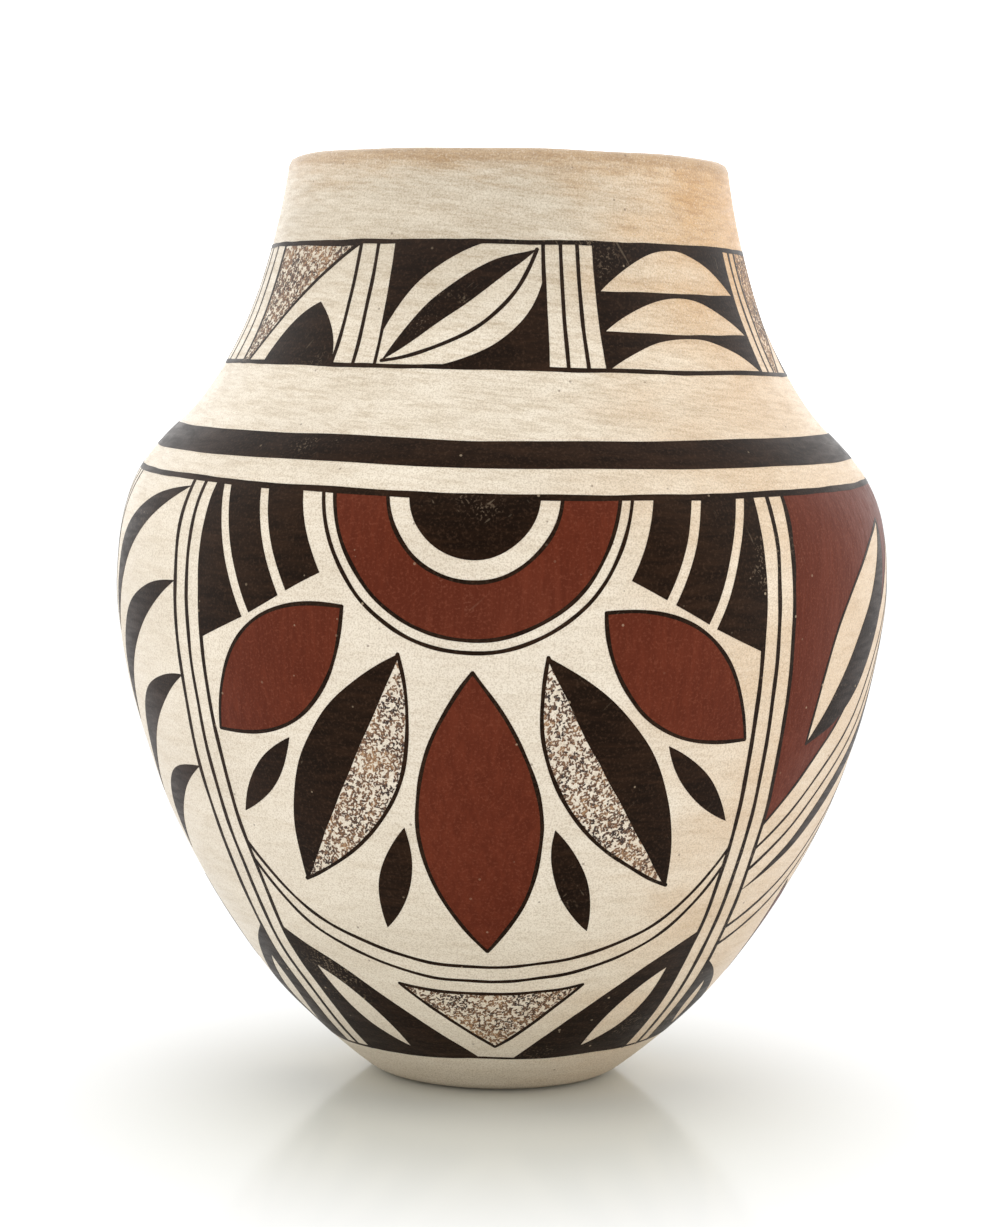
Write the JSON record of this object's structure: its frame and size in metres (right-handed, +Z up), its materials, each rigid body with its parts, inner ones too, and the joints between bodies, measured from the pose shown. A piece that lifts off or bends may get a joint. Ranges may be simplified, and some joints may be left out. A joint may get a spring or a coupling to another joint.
{
  "type": "pottery jar",
  "caption": "Hand-coiled round pottery jar with a small foot, wide belly, hollow shoulder and tall collar, painted in black and red on cream slip.",
  "frame": {"origin": "centre of the foot's flat underside, on the surface that the jar rests on", "axes": "+Z up along the jar's axis, from the foot to the rim; -Y towards the pictured side; +X to the right as pictured"},
  "size_m": [0.236, 0.236, 0.28],
  "materials": {
    "cream_slip": "fired clay with a stone-polished cream slip, a soft satin sheen, fine pits and specks",
    "blushed_slip": "the same slip, blushed tan-orange by the firing at the rim",
    "bare_clay": "thin slip over fired clay, more matt towards the foot and bare inside",
    "black_paint": "brown-black mineral and plant paint with brush streaks, fine scratches and worn specks",
    "red_slip": "polished red-brown slip paint",
    "brown_wash": "thinned brown paint, used for small stippled marks"
  },
  "bodies": {
    "root": {"base_pat": "bare_clay", "lower_coil_1": "cream_slip", "lower_coil_2": "cream_slip", "lower_coil_3": "cream_slip", "lower_coil_4": "cream_slip", "belly_coil_1": "cream_slip", "belly_coil_2": "cream_slip", "belly_coil_3": "cream_slip", "shoulder_coil_1": "cream_slip", "shoulder_coil_2": "cream_slip", "neck_coil_1": "cream_slip", "neck_coil_2": "cream_slip", "rim_coil": "blushed_slip"}
  },
  "joints": []
}
